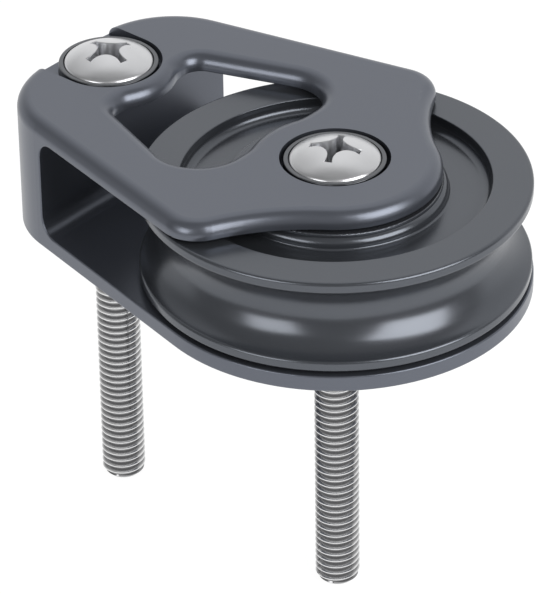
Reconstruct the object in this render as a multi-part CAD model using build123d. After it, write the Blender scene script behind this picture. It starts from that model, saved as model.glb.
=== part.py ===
from build123d import *
import math
import os

# A deck foot block: a one-piece metal frame holds a grooved sheave between a round base
# and a cheek plate, and two countersunk screws hold it down, one through the sheave's
# hollow axle and one through the heel. Sizes are in mm. The origin is midway between the
# screws on the base's underside, +X points from the heel to the sheave and +Z is up.

# Driving dimensions of the block
sheave_diameter = 50.0
sheave_width = 12.9
line_diameter = 10.0
screw_spacing = 38.5
base_thickness = 2.2
cheek_thickness = 2.4
sheave_gap = 0.5           # between the sheave and the frame, above and below
line_slack = 0.1           # the groove's mouth is this much wider than the line

# Frame outline seen from above
base_radius = 25.2
flare_angle = 13.0         # each long side leans this far from the X axis, degrees
heel_overhang = 6.6        # from the rear screw's axis to the heel's rear face
heel_corner_radius = 12.5
heel_front = 4.1           # from the rear screw's axis to the heel's inner wall
window_radius = 2.6        # inside corners between the heel and the two plates
bulge_radius = 13.6        # round nose of the cheek about the sheave's axis
lobe_radius = 5.0          # shoulders at the ends of the cheek's long sides
lobe_back = 5.8            # from the sheave's axis back to the shoulder arc's centre
waist_radius = 30.0        # hollow between a shoulder and the nose
cheek_edge_radius = 1.8
edge_break = 0.3
slot_break = 0.2           # round the edges of the slot that the sheave turns in
fine_break = 0.15

# Triangular opening in the cheek
opening_front = 10.3       # front edge behind the sheave's axis
opening_rear = 7.6         # rear edge ahead of the rear screw's axis
opening_half_width = 15.7  # at the front edge, before its corners are rounded
opening_angle = 19.8       # each side leans this far from the X axis, degrees
front_boss_radius = 11.4
rear_boss_radius = 9.0
front_corner_radius = 5.6
rear_corner_radius = 2.6
front_boss_blend = 6.0
rear_boss_blend = 3.0

# Screws and the sleeves that seat them
shank_radius = 2.7         # plain stretch inside the block
thread_radius = 2.95       # below the base, over the thread's crests
shank_step = 0.5
thread_pitch = 1.0
thread_flank_angle = 30.0
thread_length = 38.0       # up from the tip, the standard for this length of screw
screw_length = 65.0
head_radius = 5.9
head_land = 0.3
head_rise = 1.9
head_drop = 0.1            # the head's rim lies this far below the cheek's top
tip_chamfer = 0.8
shank_hole_radius = 3.25
sleeve_radius = 6.53
sleeve_hole_radius = 7.05  # in the cheek, and half the width of the heel's pocket
seat_slack = 0.05
sleeve_slack = 0.07
locating_depth = 1.0       # the axle sleeve's seat in the base
pocket_depth = 1.5
ferrule_length = 3.5
recess_radius = 3.3        # cross recess, to the tips of its arms
recess_depth = 3.6
recess_corner_radius = 2.2
recess_corner_offset = 3.65
recess_taper = 8.0
front_recess_turn = 24.5
rear_recess_turn = -10.0

# Sheave and its bearing
rim_edge_radius = 0.4
lip_radius = 0.35          # round the edges between the rims and the groove
groove_depth = 3.8
recess_rim_radius = 19.8
recess_floor_depth = 1.85
recess_fillet = 1.1
hub_radius = 14.35
hub_edge_radius = 1.0
flange_radius = 13.7
flange_thickness = 0.4
bush_radius = 8.6
bush_clearance = 0.05
bush_split = 0.1
slip_radius = 10.5
slip_clearance = 0.05

# Cutting tools pass beyond what they cut, and edges are found to within a tolerance
overshoot = 1.0
far = 100.0
tolerance = 0.01

# Worked-out places
sheave_axis = Vector(screw_spacing / 2, 0)
heel_axis = Vector(-screw_spacing / 2, 0)
sheave_bottom = base_thickness + sheave_gap
sheave_top = sheave_bottom + sheave_width
sheave_middle = (sheave_bottom + sheave_top) / 2
rim_thickness = (sheave_width - line_diameter - line_slack) / 2
cheek_bottom = sheave_top + sheave_gap
cheek_top = cheek_bottom + cheek_thickness
head_top = cheek_top - head_drop
screw_tip = head_top - screw_length
rear_face = heel_axis.X - heel_overhang
heel_wall = heel_axis.X + heel_front
flare = math.radians(flare_angle)
side_normal = Vector(-math.sin(flare), math.cos(flare))


def arc_about(centre, start, end):
    # the shorter arc from start to end about centre
    radius = (start - centre).length
    middle = centre + (start + end - centre * 2).normalized() * radius
    return ThreePointArc(start, middle, end)


def circles_cross(first, first_radius, second, second_radius):
    # where two circles meet, on the side of the line between them that faces +X
    apart = (second - first).length
    along = (second - first).normalized()
    foot = (first_radius ** 2 - second_radius ** 2 + apart ** 2) / (2 * apart)
    height = math.sqrt(first_radius ** 2 - foot ** 2)
    return first + along * foot + Vector(along.Y, -along.X) * height


def corners(plan, *places):
    return [min(plan.vertices(), key=lambda v: math.hypot(v.X - x, v.Y - y)) for x, y in places]


def outline(front_edges, side_start):
    # closed plan of the frame: one half from the nose round to the heel, and its mirror
    corner_y = (base_radius - heel_corner_radius
                - (sheave_axis.X - rear_face - heel_corner_radius) * math.sin(flare)) / math.cos(flare)
    corner = Vector(rear_face + heel_corner_radius, corner_y)
    side_end = corner + side_normal * heel_corner_radius
    corner_end = Vector(rear_face, corner_y)
    half = front_edges + [
        Line(side_start, side_end),
        arc_about(corner, side_end, corner_end),
        Line(corner_end, Vector(rear_face, 0)),
    ]
    return make_face(half + [mirror(edge, about=Plane.XZ) for edge in half])


def base_outline():
    side_start = sheave_axis + side_normal * base_radius
    nose = arc_about(sheave_axis, sheave_axis + Vector(base_radius, 0), side_start)
    return outline([nose], side_start)


def cheek_outline():
    lobe_y = (base_radius - lobe_radius - lobe_back * math.sin(flare)) / math.cos(flare)
    lobe = sheave_axis + Vector(-lobe_back, lobe_y)
    waist = circles_cross(sheave_axis, bulge_radius + waist_radius, lobe, lobe_radius + waist_radius)
    bulge_end = sheave_axis + (waist - sheave_axis).normalized() * bulge_radius
    lobe_start = lobe + (waist - lobe).normalized() * lobe_radius
    side_start = lobe + side_normal * lobe_radius
    return outline([
        arc_about(sheave_axis, sheave_axis + Vector(bulge_radius, 0), bulge_end),
        arc_about(waist, bulge_end, lobe_start),
        arc_about(lobe, lobe_start, side_start),
    ], side_start)


def opening_outline():
    front_x = sheave_axis.X - opening_front
    rear_x = heel_axis.X + opening_rear
    rear_half = opening_half_width - (front_x - rear_x) * math.tan(math.radians(opening_angle))
    plan = make_face(Polyline(
        (front_x, opening_half_width), (rear_x, rear_half), (rear_x, -rear_half),
        (front_x, -opening_half_width), close=True))
    plan -= Pos(*sheave_axis) * Circle(front_boss_radius)
    plan -= Pos(*heel_axis) * Circle(rear_boss_radius)
    for x, half_width, corner_radius, axis, boss_radius, blend in (
            (front_x, opening_half_width, front_corner_radius,
             sheave_axis, front_boss_radius, front_boss_blend),
            (rear_x, rear_half, rear_corner_radius,
             heel_axis, rear_boss_radius, rear_boss_blend)):
        boss_half = math.sqrt(boss_radius ** 2 - (x - axis.X) ** 2)
        plan = fillet(corners(plan, (x, half_width), (x, -half_width)), corner_radius)
        plan = fillet(corners(plan, (x, boss_half), (x, -boss_half)), blend)
    return plan


def plate(plan, bottom, thickness):
    return Pos(0, 0, bottom) * extrude(plan, thickness)


def post(centre, radius, bottom, top):
    return Pos(centre.X, centre.Y, bottom) * Cylinder(
        radius, top - bottom, align=(Align.CENTER, Align.CENTER, Align.MIN))


def level_edges(solid, height):
    return solid.edges().filter_by_position(Axis.Z, height - tolerance, height + tolerance).filter_by(
        lambda edge: edge.bounding_box().size.Z < tolerance)


def slot_edges(solid):
    # the slot's edges on the outer walls and round the opening, without those that run smooth
    level = level_edges(solid, base_thickness) + level_edges(solid, cheek_bottom)
    ends = solid.edges().filter_by_position(
        Axis.X, heel_wall, heel_wall + window_radius).filter_by_position(
        Axis.Z, base_thickness, cheek_bottom)
    smooth = solid.edges().filter_by(Axis.Y)
    return [edge for edge in level + ends if edge not in smooth or abs(edge.center().Y) > tolerance]


def frame():
    heel = plate(base_outline(), 0, cheek_top)
    heel -= Pos(heel_wall, 0, 0) * Box(far, far, far, align=(Align.MIN, Align.CENTER, Align.CENTER))
    body = heel + plate(base_outline(), 0, base_thickness)
    body += plate(cheek_outline(), cheek_bottom, cheek_thickness)
    body = fillet(body.edges().filter_by(Axis.Y).filter_by_position(
        Axis.X, heel_wall - tolerance, heel_wall + tolerance), window_radius)
    body -= plate(opening_outline(), cheek_bottom - overshoot, cheek_thickness + 2 * overshoot)
    body = fillet(level_edges(body, cheek_top), cheek_edge_radius)
    body = fillet(level_edges(body, 0), edge_break)
    body = fillet(slot_edges(body), slot_break)

    # the heel's pocket is open to the rear, with a round seat for the ferrule in its floor
    pocket_floor = cheek_top - pocket_depth
    pocket = post(heel_axis, sleeve_hole_radius, pocket_floor, cheek_top + overshoot)
    pocket += Pos(heel_axis.X, 0, pocket_floor) * Box(
        far, 2 * sleeve_hole_radius, far, align=(Align.MAX, Align.CENTER, Align.MIN))
    body -= pocket
    body -= post(heel_axis, sleeve_radius + sleeve_slack, head_top - ferrule_length, cheek_top)
    body -= post(heel_axis, shank_hole_radius, -overshoot, cheek_top)

    # the cheek clears the axle sleeve, which stands in a shallow seat in the base
    body -= post(sheave_axis, sleeve_hole_radius, cheek_bottom - overshoot, cheek_top + overshoot)
    body -= post(sheave_axis, sleeve_radius + sleeve_slack, base_thickness - locating_depth, sheave_bottom)
    body -= post(sheave_axis, shank_hole_radius, -overshoot, base_thickness)
    return body


def turned(profile, axis):
    # a profile drawn as radius and height, turned about the upright axis there
    return Pos(axis.X, axis.Y, 0) * revolve(Plane.XZ * profile, Axis.Z)


def sheave():
    # heights are taken from the middle of the sheave
    half = sheave_width / 2
    rim_low = half - rim_thickness
    floor = half - recess_floor_depth
    hub_top = half - flange_thickness
    rim = sheave_diameter / 2
    sweep_radius = (rim_low ** 2 + groove_depth ** 2) / (2 * groove_depth)
    groove_middle = rim - groove_depth + sweep_radius
    quarter = math.atan2(rim_low, groove_middle - rim) / 2
    between = (groove_middle - sweep_radius * math.cos(quarter), sweep_radius * math.sin(quarter))
    upper = [
        Polyline((rim, rim_low), (rim, half), (recess_rim_radius, half), (recess_rim_radius, floor),
                 (hub_radius, floor), (hub_radius, hub_top), (bush_radius, hub_top), (bush_radius, 0)),
        ThreePointArc((rim, rim_low), between, (rim - groove_depth, 0)),
    ]
    plan = make_face(upper + [mirror(edge, about=Plane.XZ) for edge in upper])
    for side in (1, -1):
        plan = fillet(corners(plan, (rim, side * half)), rim_edge_radius)
        plan = fillet(corners(plan, (rim, side * rim_low)), lip_radius)
        plan = fillet(corners(plan, (recess_rim_radius, side * half)), fine_break)
        plan = fillet(corners(plan, (recess_rim_radius, side * floor)), recess_fillet)
        plan = fillet(corners(plan, (hub_radius, side * floor)), edge_break)
        plan = fillet(corners(plan, (hub_radius, side * hub_top)), hub_edge_radius)
    return Pos(0, 0, sheave_middle) * turned(plan, sheave_axis)


def bush(upwards):
    # flanged half bush: its tube lines the sheave's bore and its flange lies on the hub
    half = sheave_width / 2
    bore = sleeve_radius + bush_clearance
    plan = make_face(Polyline(
        (bore, bush_split / 2), (bush_radius, bush_split / 2), (bush_radius, half - flange_thickness),
        (flange_radius, half - flange_thickness), (flange_radius, half), (bore, half), close=True))
    plan = fillet(corners(plan, (flange_radius, half)), fine_break)
    half_bush = turned(plan, sheave_axis)
    if not upwards:
        half_bush = mirror(half_bush, about=Plane.XY)
    return Pos(0, 0, sheave_middle) * half_bush


def slip_washer(bottom, top):
    disc = post(sheave_axis, slip_radius, bottom, top)
    return disc - post(sheave_axis, sleeve_radius + sleeve_slack, bottom - overshoot, top + overshoot)


def sleeve(axis, bottom):
    # plain tube whose mouth is countersunk for the screw's head
    seat = head_radius + seat_slack
    land = head_top - head_land
    plan = make_face(Polyline(
        (shank_hole_radius, bottom), (sleeve_radius, bottom), (sleeve_radius, head_top), (seat, head_top),
        (seat, land), (shank_hole_radius, land - (seat - shank_hole_radius)), close=True))
    plan = fillet(corners(plan, (sleeve_radius, head_top)), fine_break)
    return turned(plan, axis)


def cross_recess():
    # four blunt arms between four round corners, narrowing downwards
    plan = Circle(recess_radius)
    for quarter in range(4):
        plan -= Rot(0, 0, 45 + 90 * quarter) * Pos(recess_corner_offset, 0) * Circle(recess_corner_radius)
    return extrude(plan, -recess_depth, taper=recess_taper)


def thread_rings():
    # the standard section of the thread, drawn as rings at its pitch, without the helix
    flank = thread_pitch * 5 / 16
    crest_flat = thread_pitch / 8
    root_flat = thread_pitch / 4
    root = thread_radius - flank / math.tan(math.radians(thread_flank_angle))
    points = []
    for ring in range(int((thread_length - tip_chamfer) / thread_pitch)):
        top = screw_tip + thread_length - ring * thread_pitch
        points += [(thread_radius, top), (root, top - flank), (root, top - flank - root_flat),
                   (thread_radius, top - thread_pitch + crest_flat)]
    return points


def screw(axis, recess_turn):
    land = head_top - head_land
    apex = head_top + head_rise
    dome_radius = (head_radius ** 2 + head_rise ** 2) / (2 * head_rise)
    midway = head_radius / 2
    crown = (midway, apex - dome_radius + math.sqrt(dome_radius ** 2 - midway ** 2))
    plan = make_face([
        ThreePointArc((0, apex), crown, (head_radius, head_top)),
        Polyline((head_radius, head_top), (head_radius, land),
                 (shank_radius, land - (head_radius - shank_radius)), (shank_radius, shank_step),
                 (thread_radius, 0), *thread_rings(), (thread_radius, screw_tip + tip_chamfer),
                 (thread_radius - tip_chamfer, screw_tip), (0, screw_tip), (0, apex)),
    ])
    return turned(plan, axis) - Pos(axis.X, axis.Y, apex) * Rot(0, 0, recess_turn) * cross_recess()


pieces = {
    "frame": frame(),
    "sheave": sheave(),
    "upper_bush": bush(True),
    "lower_bush": bush(False),
    "upper_slip_washer": slip_washer(sheave_top + slip_clearance, cheek_bottom),
    "lower_slip_washer": slip_washer(base_thickness, sheave_bottom - slip_clearance),
    "axle_sleeve": sleeve(sheave_axis, base_thickness - locating_depth),
    "heel_ferrule": sleeve(heel_axis, head_top - ferrule_length),
    "front_screw": screw(sheave_axis, front_recess_turn),
    "rear_screw": screw(heel_axis, rear_recess_turn),
}

os.makedirs("parts", exist_ok=True)
for name, piece in pieces.items():
    export_step(piece, f"parts/{name}.step")
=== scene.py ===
import math
import bmesh
import bpy
from mathutils import Matrix, Vector


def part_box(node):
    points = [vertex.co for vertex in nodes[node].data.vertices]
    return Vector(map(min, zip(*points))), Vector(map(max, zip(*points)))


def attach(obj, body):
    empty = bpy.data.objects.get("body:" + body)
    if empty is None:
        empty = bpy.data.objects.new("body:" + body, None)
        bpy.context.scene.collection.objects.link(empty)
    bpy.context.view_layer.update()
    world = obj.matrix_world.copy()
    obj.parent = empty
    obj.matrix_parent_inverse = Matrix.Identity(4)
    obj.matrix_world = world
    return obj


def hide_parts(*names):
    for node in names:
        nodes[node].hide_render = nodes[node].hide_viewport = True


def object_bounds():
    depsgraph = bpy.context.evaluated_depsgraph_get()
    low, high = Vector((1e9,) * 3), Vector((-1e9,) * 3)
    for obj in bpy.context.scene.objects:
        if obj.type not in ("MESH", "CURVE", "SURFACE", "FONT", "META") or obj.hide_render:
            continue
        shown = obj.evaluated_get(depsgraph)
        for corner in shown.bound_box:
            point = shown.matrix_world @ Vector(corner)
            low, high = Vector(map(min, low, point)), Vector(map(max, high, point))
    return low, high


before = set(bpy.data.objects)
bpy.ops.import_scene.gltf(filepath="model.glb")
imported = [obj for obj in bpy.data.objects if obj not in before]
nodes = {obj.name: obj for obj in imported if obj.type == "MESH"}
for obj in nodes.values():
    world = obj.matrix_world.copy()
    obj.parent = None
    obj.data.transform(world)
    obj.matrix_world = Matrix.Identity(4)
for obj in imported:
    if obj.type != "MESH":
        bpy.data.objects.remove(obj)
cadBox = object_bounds()
scene = bpy.context.scene
scene.view_settings.view_transform = "Standard"
mm = 0.001
smoothAngle = 28               # edges that turn by fewer degrees are smooth
joinGap = 1e-4                 # points this near to each other are one, in millimetres
findGap = 1e-3                 # points this near to a height or radius lie on it

sheaveLow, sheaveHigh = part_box("sheave")
sheaveAxis = (sheaveLow + sheaveHigh) / 2
ferruleLow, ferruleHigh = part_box("heel_ferrule")
heelAxis = (ferruleLow + ferruleHigh) / 2
print("frame loaded:", len(nodes), "nodes")


# Camera, at the photo's viewing angle
camera = {
    "azimuth": 41.08,
    "elevation": 32.97,
    "roll": -0.86,
    "distance": 0.5543,
    "lens": 263.0,
    "sensor": 36,
    "clipStart": 0.01,
    "aside": -7.58 * mm,       # the view's centre, right of and above the sheave's foot
    "above": -2.04 * mm,
}


def viewAxes(azimuth, elevation, roll):
    a, e = math.radians(azimuth), math.radians(elevation)
    back = Vector((math.sin(a) * math.cos(e), -math.cos(a) * math.cos(e), math.sin(e)))
    level = Vector((math.cos(a), math.sin(a), 0))
    tilt = Matrix.Rotation(math.radians(roll), 3, back)
    return tilt @ level, tilt @ back.cross(level), back


def makeCamera():
    right, up, back = viewAxes(camera["azimuth"], camera["elevation"], camera["roll"])
    foot = Vector((sheaveAxis.x, sheaveAxis.y, 0))
    centre = foot + right * camera["aside"] + up * camera["above"]
    lens = bpy.data.cameras.new("photoCamera")
    lens.lens = camera["lens"]
    lens.sensor_width = camera["sensor"]
    lens.clip_start = camera["clipStart"]
    holder = bpy.data.objects.new("photoCamera", lens)
    turn = Matrix((right, up, back)).transposed().to_4x4()
    holder.matrix_world = Matrix.Translation(centre + back * camera["distance"]) @ turn
    scene.collection.objects.link(holder)
    scene.camera = holder


makeCamera()
print("camera placed")


# Shader maths: + - * / on a wire add Math nodes
class Wire:
    def __init__(self, tree, socket):
        self.tree = tree
        self.socket = socket

    def calculate(self, operation, first, second):
        return addNode(self.tree, "ShaderNodeMath", {"operation": operation},
                       {0: first, 1: second})

    def __add__(self, other):
        return self.calculate("ADD", self, other)

    def __radd__(self, other):
        return self.calculate("ADD", other, self)

    def __sub__(self, other):
        return self.calculate("SUBTRACT", self, other)

    def __rsub__(self, other):
        return self.calculate("SUBTRACT", other, self)

    def __mul__(self, other):
        return self.calculate("MULTIPLY", self, other)

    def __rmul__(self, other):
        return self.calculate("MULTIPLY", other, self)

    def __truediv__(self, other):
        return self.calculate("DIVIDE", self, other)


def addNode(tree, kind, settings=None, sockets=None, output=0):
    node = tree.nodes.new(kind)
    for name, value in (settings or {}).items():
        setattr(node, name, value)
    for name, value in (sockets or {}).items():
        if isinstance(value, Wire):
            tree.links.new(value.socket, node.inputs[name])
        else:
            node.inputs[name].default_value = value
    return Wire(tree, node.outputs[output])


def rangeOf(wire, low, high, toLow, toHigh):
    return addNode(wire.tree, "ShaderNodeMapRange", {"interpolation_type": "SMOOTHSTEP"}, {
        "Value": wire, "From Min": low, "From Max": high, "To Min": toLow, "To Max": toHigh})


def mixColour(factor, first, second):
    tree = factor.tree
    node = tree.nodes.new("ShaderNodeMix")
    node.data_type = "RGBA"
    tree.links.new(factor.socket, node.inputs["Factor"])
    for socket, colour in ((node.inputs[6], first), (node.inputs[7], second)):
        if isinstance(colour, Wire):
            tree.links.new(colour.socket, socket)
        else:
            socket.default_value = (*colour, 1)
    return Wire(tree, node.outputs[2])


class Finish:
    # a Principled material whose patterns lie in the piece's own coordinates, in millimetres
    def __init__(self, name, settings):
        self.material = bpy.data.materials.new(name)
        self.material.use_nodes = True
        self.tree = self.material.node_tree
        self.shader = self.tree.nodes["Principled BSDF"]
        self.shader.inputs["Metallic"].default_value = settings["metallic"]
        self.material.diffuse_color = (*settings["colour"], 1)
        self.coordinates = addNode(self.tree, "ShaderNodeTexCoord", output=3)

    def noise(self, size, detail=2.0, stretch=(1, 1, 1)):
        # values from 0 to 1 in patches of about this size in millimetres
        scaled = addNode(self.tree, "ShaderNodeMapping", None, {
            "Vector": self.coordinates, "Scale": [s / (size * mm) for s in stretch]})
        return addNode(self.tree, "ShaderNodeTexNoise", None, {
            "Vector": scaled, "Scale": 1.0, "Detail": detail})

    def fromAxis(self, axis):
        # distance from an upright axis, in millimetres
        centred = addNode(self.tree, "ShaderNodeMapping", None, {
            "Vector": self.coordinates, "Location": (-axis.x / mm, -axis.y / mm, 0),
            "Scale": (1 / mm, 1 / mm, 0)})
        return addNode(self.tree, "ShaderNodeVectorMath", {"operation": "LENGTH"},
                       {0: centred}, 1)

    def rings(self, axis, size):
        # values from 0 to 1 in turning marks round the axis, about this far apart in millimetres
        height = addNode(self.tree, "ShaderNodeSeparateXYZ", None, {0: self.coordinates}, 2) / mm
        across = addNode(self.tree, "ShaderNodeCombineXYZ", None, {
            0: self.fromAxis(axis), 1: height})
        return addNode(self.tree, "ShaderNodeTexNoise", None, {
            "Vector": across, "Scale": 1 / size, "Detail": 3.0})

    def set(self, socket, wire):
        self.tree.links.new(wire.socket, self.shader.inputs[socket])

    def bump(self, height, distance):
        self.set("Normal", addNode(self.tree, "ShaderNodeBump", None, {
            "Height": height, "Distance": distance * mm, "Strength": 1.0}))


def shade(colour, amount):
    return tuple(c * amount for c in colour)


# How far the anodised, bare and plastic finishes stray from their own values
variation = {
    "patchShare": 0.6,         # the rest of the colour's change is grain
    "colour": 0.04,
    "roughness": 0.05,
    "rings": 0.10,
}

# Hard anodised aluminium, satin grey, with sizes and depths in millimetres
anodised = {
    "colour": (0.133, 0.144, 0.171),
    "metallic": 0.74,
    "roughness": 0.31,
    "patchSize": 9.0,
    "grainSize": 0.16,
    "grainDepth": 0.0003,
}


def anodisedFinish(name, settings, turnedAbout=None):
    finish = Finish(name, settings)
    patches = finish.noise(settings["patchSize"])
    grain = finish.noise(settings["grainSize"], 3.0)
    colour, spread = settings["colour"], variation["roughness"]
    finish.set("Base Color", mixColour(
        patches * variation["patchShare"] + grain * (1 - variation["patchShare"]),
        shade(colour, 1 - variation["colour"]), shade(colour, 1 + variation["colour"])))
    roughness = settings["roughness"] + (patches - 0.5) * spread + (grain - 0.5) * spread
    relief = grain
    if turnedAbout is not None:
        # fine rings left by the lathe tool
        rings = finish.rings(turnedAbout, settings["ringSize"])
        roughness = roughness + (rings - 0.5) * variation["rings"]
        relief = grain + rings * settings["ringDepth"]
    finish.set("Roughness", roughness)
    finish.bump(relief, settings["grainDepth"])
    return finish.material


turned = dict(anodised, colour=(0.104, 0.112, 0.127), roughness=0.235,
              ringSize=0.4, ringDepth=2.0)
frameMetal = anodisedFinish("frameMetal", anodised)
sheaveMetal = anodisedFinish("sheaveMetal", turned, sheaveAxis)

# The sleeves are bare satin metal, turned
sleeves = {
    "colour": (0.14, 0.145, 0.155),
    "metallic": 1.0,
    "roughness": 0.3,
    "patchSize": 5.0,
    "grainSize": 0.12,
    "grainDepth": 0.0005,
    "ringSize": 0.3,
    "ringDepth": 2.0,
}
axleMetal = anodisedFinish("axleMetal", sleeves, sheaveAxis)
ferruleMetal = anodisedFinish("ferruleMetal", sleeves, heelAxis)

# Filled bearing plastic
bearings = {
    "colour": (0.112, 0.120, 0.136),
    "metallic": 0.74,
    "roughness": 0.28,
    "patchSize": 6.0,
    "grainSize": 0.2,
    "grainDepth": 0.0005,
    "ringSize": 0.35,
    "ringDepth": 2.0,
}
bearingPlastic = anodisedFinish("bearingPlastic", bearings, sheaveAxis)

# Stainless steel
stainless = {
    "colour": (0.68, 0.685, 0.70),
    "metallic": 1.0,
    "roughness": 0.30,
    "smearSize": 3.0,
    "grainSize": 0.3,
    "grainDepth": 0.0012,
    "dark": 0.88,              # the colour's darkest and brightest shades
    "bright": 1.08,
    "smearSpread": 0.10,
    "grainSpread": 0.05,
}


def stainlessFinish(name, settings):
    finish = Finish(name, settings)
    smears = finish.noise(settings["smearSize"], 4.0)
    grain = finish.noise(settings["grainSize"], 2.0)
    colour = settings["colour"]
    finish.set("Base Color", mixColour(
        smears, shade(colour, settings["dark"]), shade(colour, settings["bright"])))
    finish.set("Roughness", settings["roughness"] + (smears - 0.5) * settings["smearSpread"]
               + (grain - 0.5) * settings["grainSpread"])
    finish.bump(grain, settings["grainDepth"])
    return finish.material


screwSteel = stainlessFinish("screwSteel", stainless)

# Rolled threads: a painted highlight on the crests and painted shade on the flanks and in the roots
thread = {
    # the crests' light colour is a painted highlight, and the roots' dark colour is painted shade
    "crest": (0.86, 0.86, 0.86),
    "root": (0.28, 0.28, 0.285),
    "metallic": 1.0,
    "roughness": 0.14,
    "grainSize": 0.25,
    "grainStretch": (1, 1, 2.5),
    "grainDepth": 0.0015,
    "rootReach": 2.7,          # radius up to which the roots' painted shade holds
    "crestReach": 2.93,
    "heightShare": 0.9,        # what the colour takes from the height, as painted shade and highlight, and from the grain
    "grainShare": 0.2,
    "shadeShift": 0.05,
    "grainSpread": 0.10,
    "rootRougher": 0.08,
}


def threadFinish(name, settings, axis):
    finish = Finish(name, dict(settings, colour=settings["crest"]))
    grain = finish.noise(settings["grainSize"], 3.0, settings["grainStretch"])
    height = rangeOf(finish.fromAxis(axis), settings["rootReach"], settings["crestReach"], 0.0, 1.0)
    # painted shade in the roots turns to a painted highlight on the crests, by distance from the
    # axis
    brightness = height * settings["heightShare"] + grain * settings["grainShare"]
    finish.set("Base Color", mixColour(
        brightness - settings["shadeShift"], settings["root"], settings["crest"]))
    finish.set("Roughness", settings["roughness"] + (grain - 0.5) * settings["grainSpread"]
               + (1 - height) * settings["rootRougher"])
    finish.bump(grain, settings["grainDepth"])
    return finish.material


for name, material in {
        "frame": frameMetal, "sheave": sheaveMetal, "upper_bush": bearingPlastic,
        "lower_bush": bearingPlastic, "upper_slip_washer": bearingPlastic,
        "lower_slip_washer": bearingPlastic, "axle_sleeve": axleMetal,
        "heel_ferrule": ferruleMetal, "front_screw": screwSteel, "rear_screw": screwSteel}.items():
    mesh = nodes[name].data
    mesh.materials.clear()
    mesh.materials.append(material)
print("finishes made")


def newPiece(name, bm, *materials):
    mesh = bpy.data.meshes.new(name)
    bm.to_mesh(mesh)
    bm.free()
    for material in materials:
        mesh.materials.append(material)
    piece = bpy.data.objects.new(name, mesh)
    scene.collection.objects.link(piece)
    return piece


def smoothByAngle(bm):
    limit = math.radians(smoothAngle)
    for face in bm.faces:
        face.smooth = True
    for edge in bm.edges:
        edge.smooth = edge.is_manifold and edge.calc_face_angle(math.pi) < limit


def closedLoop(bm, points):
    verts = [bm.verts.new(point) for point in points]
    return [bm.edges.new(pair) for pair in zip(verts, verts[1:] + verts[:1])]


# Sheave: turned from its section, with smooth round edges, in millimetres from its middle
sheave = {
    # radius, height and rounding of each corner, from the groove's mouth in to the bore
    "corners": ((25.0, 5.05, 0.26), (25.0, 6.45, 0.4), (19.8, 6.45, 0.15), (19.8, 4.6, 1.1),
                (14.35, 4.6, 0.3), (14.35, 6.05, 1.0), (8.6, 6.05, 0.0)),
    "grooveDepth": 3.8,
    "grooveSteps": 36,
    "turnSteps": 240,
    "roundSteps": 5,
    "guard": 0.1,              # flat strip kept beside each rounding
}


def makeSheave():
    upper = sheave["corners"]
    corners = list(upper) + [(r, -h, size) for r, h, size in reversed(upper)]
    points = []
    for (r, h, size), (nextR, nextH, nextSize) in zip(corners, corners[1:]):
        start, end = Vector((r, 0, h)), Vector((nextR, 0, nextH))
        along = end - start
        spare = min(sheave["guard"], (along.length - size - nextSize) / 3)
        points += [start, start + along.normalized() * (size + spare),
                   end - along.normalized() * (nextSize + spare)]
    points.append(end)
    # the groove, an arc from the lower lip to the upper one
    rim, mouth, depth = corners[0][0], corners[0][1], sheave["grooveDepth"]
    sweep = (mouth ** 2 + depth ** 2) / (2 * depth)
    half = math.asin(mouth / sweep)
    for step in range(1, sheave["grooveSteps"]):
        angle = half * (2 * step / sheave["grooveSteps"] - 1)
        reach = rim - depth + sweep - sweep * math.cos(angle)
        points.append(Vector((reach, 0, sweep * math.sin(angle))))
    bm = bmesh.new()
    section = closedLoop(bm, points)
    bmesh.ops.spin(bm, geom=bm.verts[:] + section, cent=(0, 0, 0), axis=(0, 0, 1),
                   angle=math.tau, steps=sheave["turnSteps"], use_merge=True)
    bmesh.ops.recalc_face_normals(bm, faces=bm.faces)
    for r, h, size in corners:
        if size:
            ring = [e for e in bm.edges if all(
                abs(v.co.xy.length - r) < findGap and abs(v.co.z - h) < findGap for v in e.verts)]
            bmesh.ops.bevel(bm, geom=ring, offset=size, offset_type="OFFSET", affect="EDGES",
                            segments=sheave["roundSteps"], profile=0.5, material=-1)
    smoothByAngle(bm)
    bmesh.ops.scale(bm, verts=bm.verts, vec=(mm, mm, mm))
    bmesh.ops.translate(bm, verts=bm.verts, vec=sheaveAxis)
    piece = newPiece("sheaveWheel", bm, sheaveMetal)
    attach(piece, "sheave")
    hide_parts("sheave")


makeSheave()
print("sheave made")

# Screws: raised countersunk heads with a cross recess, plain shanks and M6 threads, in mm
screw = {
    "headRadius": 5.9,
    "land": 0.3,
    "rise": 1.9,
    "apexAbove": 1.8,          # the domes' apex above the cheek's top
    "rimRound": 0.35,
    "shankRadius": 2.7,
    "widening": 0.5,           # height above the deck from which the shank widens to the crests
    "crestRadius": 2.95,
    "threadTop": -8.6,
    "pitch": 1.0,
    "flankAngle": 30.0,
    "tipChamfer": 0.8,
    "chamferSteps": 4,
    "threadSteps": 48,
    "domeRings": 10,
    "rimRings": 4,
    "recessRadius": 3.3,
    "recessDepth": 3.6,
    "recessRound": 0.08,
    "cornerRadius": 2.2,
    "cornerOffset": 3.65,
    "taper": 8.0,
    "arcSteps": 20,
    "armSteps": 4,
    "frontTurn": 24.5,         # how far each recess is turned, in degrees
    "rearTurn": -10,
}


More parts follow.
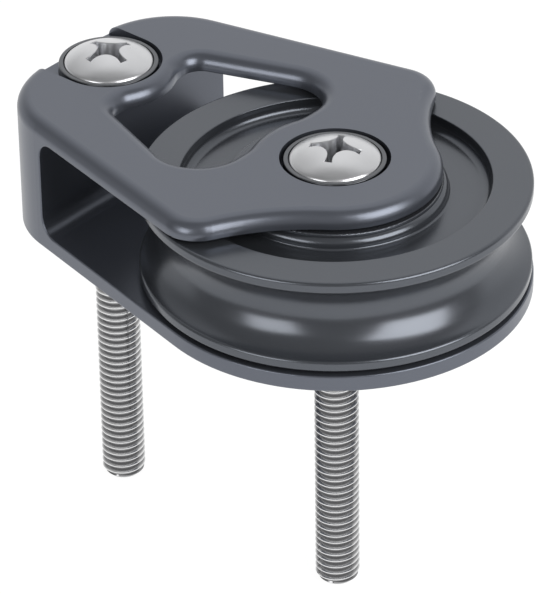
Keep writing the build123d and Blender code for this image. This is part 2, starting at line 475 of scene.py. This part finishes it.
def recessOutline(grown):
    # four blunt arms between four round corners, this much wider than at the dome's surface
    reach = screw["recessRadius"] + grown
    radius, offset = screw["cornerRadius"] - grown, screw["cornerOffset"]
    steps, armSteps = screw["arcSteps"], screw["armSteps"]
    # half of a corner's arc, and the direction of its ends, seen from the head's axis
    half = math.acos((offset ** 2 + radius ** 2 - reach ** 2) / (2 * offset * radius))
    end = math.atan2(radius * math.sin(half), offset - radius * math.cos(half))
    points = []
    for quarter in range(4):
        turn = math.pi / 4 + quarter * math.pi / 2
        for step in range(steps + 1):
            angle = turn + math.pi + half * (1 - 2 * step / steps)
            points.append(Vector((offset * math.cos(turn) + radius * math.cos(angle),
                                  offset * math.sin(turn) + radius * math.sin(angle))))
        for step in range(1, armSteps):
            angle = turn + end + (math.pi / 2 - 2 * end) * step / armSteps
            points.append(Vector((reach * math.cos(angle), reach * math.sin(angle))))
    return points


def circleOutline(radius):
    count = 4 * (screw["arcSteps"] + screw["armSteps"])
    first = math.pi / 4 - math.pi * screw["arcSteps"] / count
    return [Vector((radius * math.cos(first + math.tau * i / count),
                    radius * math.sin(first + math.tau * i / count))) for i in range(count)]


def makeHead(bm, apex):
    # recess, dome, rounded rim, countersink and plain shank, as loops from the recess's floor down
    radius, rise, rimRound = screw["headRadius"], screw["rise"], screw["rimRound"]
    domeRadius = (radius ** 2 + rise ** 2) / (2 * rise)

    def domeHeight(flat):
        return apex - domeRadius + math.sqrt(domeRadius ** 2 - flat.length_squared)

    def onDome(outline, sunk=0.0):
        return [(p.x, p.y, domeHeight(p) - sunk) for p in outline]

    def level(outline, height):
        return [(p.x, p.y, height) for p in outline]

    narrowing = screw["recessDepth"] * math.tan(math.radians(screw["taper"]))
    mouth, brim = recessOutline(screw["recessRound"]), circleOutline(radius - rimRound)
    loops = [level(recessOutline(-narrowing), apex - screw["recessDepth"]),
             onDome(recessOutline(0), screw["recessRound"])]
    rings = screw["domeRings"]
    for ring in range(rings + 1):
        loops.append(onDome([a.lerp(b, ring / rings) for a, b in zip(mouth, brim)]))
    # the rim turns from the dome's slope down to the upright land
    slope = math.asin((radius - rimRound) / domeRadius)
    roundRadius = rimRound / (1 - math.sin(slope))
    brimHeight = domeHeight(brim[0])
    for ring in range(1, screw["rimRings"] + 1):
        angle = slope + (math.pi / 2 - slope) * ring / screw["rimRings"]
        reach = radius - roundRadius * (1 - math.sin(angle))
        sunk = roundRadius * (math.cos(slope) - math.cos(angle))
        loops.append(level(circleOutline(reach), brimHeight - sunk))
    land = apex - rise - screw["land"]
    shank, crest, top = screw["shankRadius"], screw["crestRadius"], screw["threadTop"]
    for reach, height in ((radius, land), (shank, land - (radius - shank)),
                          (shank, screw["widening"]), (crest, 0), (crest, top)):
        loops.append(level(circleOutline(reach), height))
    edges = [closedLoop(bm, loop) for loop in loops]
    for upper, lower in zip(edges, edges[1:]):
        bmesh.ops.bridge_loops(bm, edges=upper + lower)
    for ending in (edges[0], edges[-1]):
        bmesh.ops.edgeloop_fill(bm, edges=ending)


def makeThread(bm, tip):
    # one pitch of the thread's standard section, swept down a helix and cut off at both ends
    pitch, crest, top = screw["pitch"], screw["crestRadius"], screw["threadTop"]
    chamfer = screw["tipChamfer"]
    flank, rootFlat = pitch * 5 / 16, pitch / 4
    root = crest - flank / math.tan(math.radians(screw["flankAngle"]))
    # the helix starts and ends more than a turn beyond the cuts
    turns = math.ceil((top - tip) / pitch) + 3
    start = tip - 1.5 * pitch
    radii = (crest, root, root, crest, crest)
    heights = (0, flank, flank + rootFlat, 2 * flank + rootFlat, pitch)
    verts = [bm.verts.new((r, 0, start + h)) for r, h in zip(radii, heights)]
    chain = verts + [bm.edges.new(pair) for pair in zip(verts, verts[1:])]
    bmesh.ops.spin(bm, geom=chain, cent=(0, 0, 0), axis=(0, 0, 1),
                   dvec=(0, 0, pitch / screw["threadSteps"]), angle=math.tau * turns,
                   steps=screw["threadSteps"] * turns)
    bmesh.ops.remove_doubles(bm, verts=bm.verts, dist=joinGap)

    def cutAcross(height, clearing=0):
        # clearing 1 takes away what is above the cut, -1 what is below
        bmesh.ops.bisect_plane(bm, geom=bm.verts[:] + bm.edges[:] + bm.faces[:], dist=joinGap,
                               plane_co=(0, 0, height), plane_no=(0, 0, clearing or 1),
                               clear_outer=bool(clearing))

    cutAcross(tip, -1)
    cutAcross(top, 1)
    for step in range(1, screw["chamferSteps"] + 1):
        cutAcross(tip + chamfer * (step / screw["chamferSteps"]))
    for vert in bm.verts:
        # the chamfer at the tip fades the last turn out
        widest = crest - chamfer + (vert.co.z - tip)
        if vert.co.xy.length > widest:
            vert.co.xy *= widest / vert.co.xy.length
    bmesh.ops.remove_doubles(bm, verts=bm.verts, dist=joinGap)
    for height in (tip, top):
        rim = [e for e in bm.edges if e.is_boundary and abs(e.verts[0].co.z - height) < findGap]
        bmesh.ops.holes_fill(bm, edges=rim, sides=0)


def makeScrew(name, node, axis, recessTurn, threadSteel):
    head = bmesh.new()
    makeHead(head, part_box("frame")[1].z / mm + screw["apexAbove"])
    bmesh.ops.rotate(head, verts=head.verts, cent=(0, 0, 0),
                     matrix=Matrix.Rotation(math.radians(recessTurn), 3, "Z"))
    helix = bmesh.new()
    makeThread(helix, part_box(node)[0].z / mm)
    for face in helix.faces:
        face.material_index = 1
    joined = bpy.data.meshes.new("helix")
    helix.to_mesh(joined)
    helix.free()
    head.from_mesh(joined)
    bpy.data.meshes.remove(joined)
    bmesh.ops.recalc_face_normals(head, faces=head.faces)
    smoothByAngle(head)
    bmesh.ops.scale(head, verts=head.verts, vec=(mm, mm, mm))
    bmesh.ops.translate(head, verts=head.verts, vec=(axis.x, axis.y, 0))
    piece = newPiece(name, head, screwSteel, threadSteel)
    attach(piece, "frame")
    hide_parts(node)


makeScrew("frontScrew", "front_screw", sheaveAxis, screw["frontTurn"],
          threadFinish("frontThread", thread, sheaveAxis))
makeScrew("rearScrew", "rear_screw", heelAxis, screw["rearTurn"],
          threadFinish("rearThread", thread, heelAxis))
print("screws made")


# Studio: a white table under the screws' tips, a white sheet behind it and a dim room in front
studio = {
    "tableSize": 0.52,
    "tableColour": (0.82, 0.82, 0.82),
    "tableRoughness": 0.9,
    "glowShare": 0.8,          # how much of what the table shows is its own white
    "glowStrength": 1.15,
    "room": 0.27,
    "sheetHeading": 131.2,     # degrees round from +X, behind the block in the photo's view
    "leftFall": 0.7,           # how fast the sheet dims towards its sides
    "rightFall": 0.3,
    "fallHeights": (0.1, 0.5), # between these heights the dimming grows from lowFall to whole
    "lowFall": 0.3,
    "sheetEdge": (0.05, 0.28), # where the room turns into the sheet, 1 is the sheet's middle
}


def direction(heading, height):
    h, e = math.radians(heading), math.radians(height)
    return Vector((math.cos(h) * math.cos(e), math.sin(h) * math.cos(e), math.sin(e)))


def lightPaths(tree):
    # what the camera sees directly, and what it sees mirrored or through glass
    outputs = addNode(tree, "ShaderNodeLightPath").socket.node.outputs
    camera, glossy, transmission = (
        Wire(tree, outputs[name])
        for name in ("Is Camera Ray", "Is Glossy Ray", "Is Transmission Ray"))
    return camera, glossy + transmission


def makeTable():
    bm = bmesh.new()
    bmesh.ops.create_grid(bm, x_segments=1, y_segments=1, size=studio["tableSize"] / 2)
    bmesh.ops.translate(bm, verts=bm.verts, vec=(0, 0, cadBox[0].z))
    material = bpy.data.materials.new("tableWhite")
    material.use_nodes = True
    tree = material.node_tree
    shader = tree.nodes["Principled BSDF"]
    shader.inputs["Base Color"].default_value = (*studio["tableColour"], 1)
    shader.inputs["Roughness"].default_value = studio["tableRoughness"]
    shader.inputs["Specular IOR Level"].default_value = 0.0
    glow = addNode(tree, "ShaderNodeEmission", None, {
        "Color": (1, 1, 1, 1), "Strength": studio["glowStrength"]})
    seen, mirrored = lightPaths(tree)
    mixed = addNode(tree, "ShaderNodeMixShader", None, {
        0: (seen + mirrored) * studio["glowShare"], 1: Wire(tree, shader.outputs[0]), 2: glow})
    tree.links.new(mixed.socket, tree.nodes["Material Output"].inputs["Surface"])
    newPiece("table", bm, material)


def makeWorld():
    world = bpy.data.worlds.new("studio")
    world.use_nodes = True
    scene.world = world
    tree = world.node_tree
    look = addNode(tree, "ShaderNodeTexCoord")

    def share(heading):
        # how much of the looking direction points this way, from -1 to 1
        return addNode(tree, "ShaderNodeVectorMath", {"operation": "DOT_PRODUCT"}, {
            0: look, 1: direction(heading, 0)}, 1)

    height = addNode(tree, "ShaderNodeSeparateXYZ", None, {0: look}, 2)
    behind = share(studio["sheetHeading"])
    leftward = rangeOf(share(studio["sheetHeading"] + 90), 0.0, 1.0, 0.0, studio["leftFall"])
    rightward = rangeOf(share(studio["sheetHeading"] - 90), 0.0, 1.0, 0.0, studio["rightFall"])
    dimming = rangeOf(height, *studio["fallHeights"], studio["lowFall"], 1.0)
    sheet = 1 - (leftward + rightward) * dimming
    reach = rangeOf(behind, *studio["sheetEdge"], 0.0, 1.0)
    brightness = studio["room"] + (sheet - studio["room"]) * reach
    seen = lightPaths(tree)[0]
    colour = mixColour(brightness, (0, 0, 0), (1, 1, 1))
    background = tree.nodes["Background"]
    tree.links.new(mixColour(seen, colour, (1, 1, 1)).socket, background.inputs["Color"])


# Softboxes: where they stand from the block, their size in metres and brightness, 1 is white
softboxes = {
    "rightBox": {"heading": 0.0, "height": 28.0, "distance": 0.45,
                 "size": 0.34, "brightness": 4.6},
    "leftBox": {"heading": -89.0, "height": 18.0, "distance": 0.45,
                "size": 0.24, "brightness": 3.4},
}


def makeSoftbox(name, settings):
    lamp = bpy.data.lights.new(name, "AREA")
    lamp.shape = "SQUARE"
    lamp.size = settings["size"]
    lamp.energy = math.pi * settings["size"] ** 2 * settings["brightness"]
    holder = bpy.data.objects.new(name, lamp)
    towards = direction(settings["heading"], settings["height"])
    middle = Vector((sheaveAxis.x / 2, 0, sheaveAxis.z))
    holder.location = middle + towards * settings["distance"]
    holder.rotation_euler = towards.to_track_quat("Z", "Y").to_euler()
    holder.visible_camera = False
    scene.collection.objects.link(holder)


makeTable()
makeWorld()
for name, settings in softboxes.items():
    makeSoftbox(name, settings)
print("studio made")
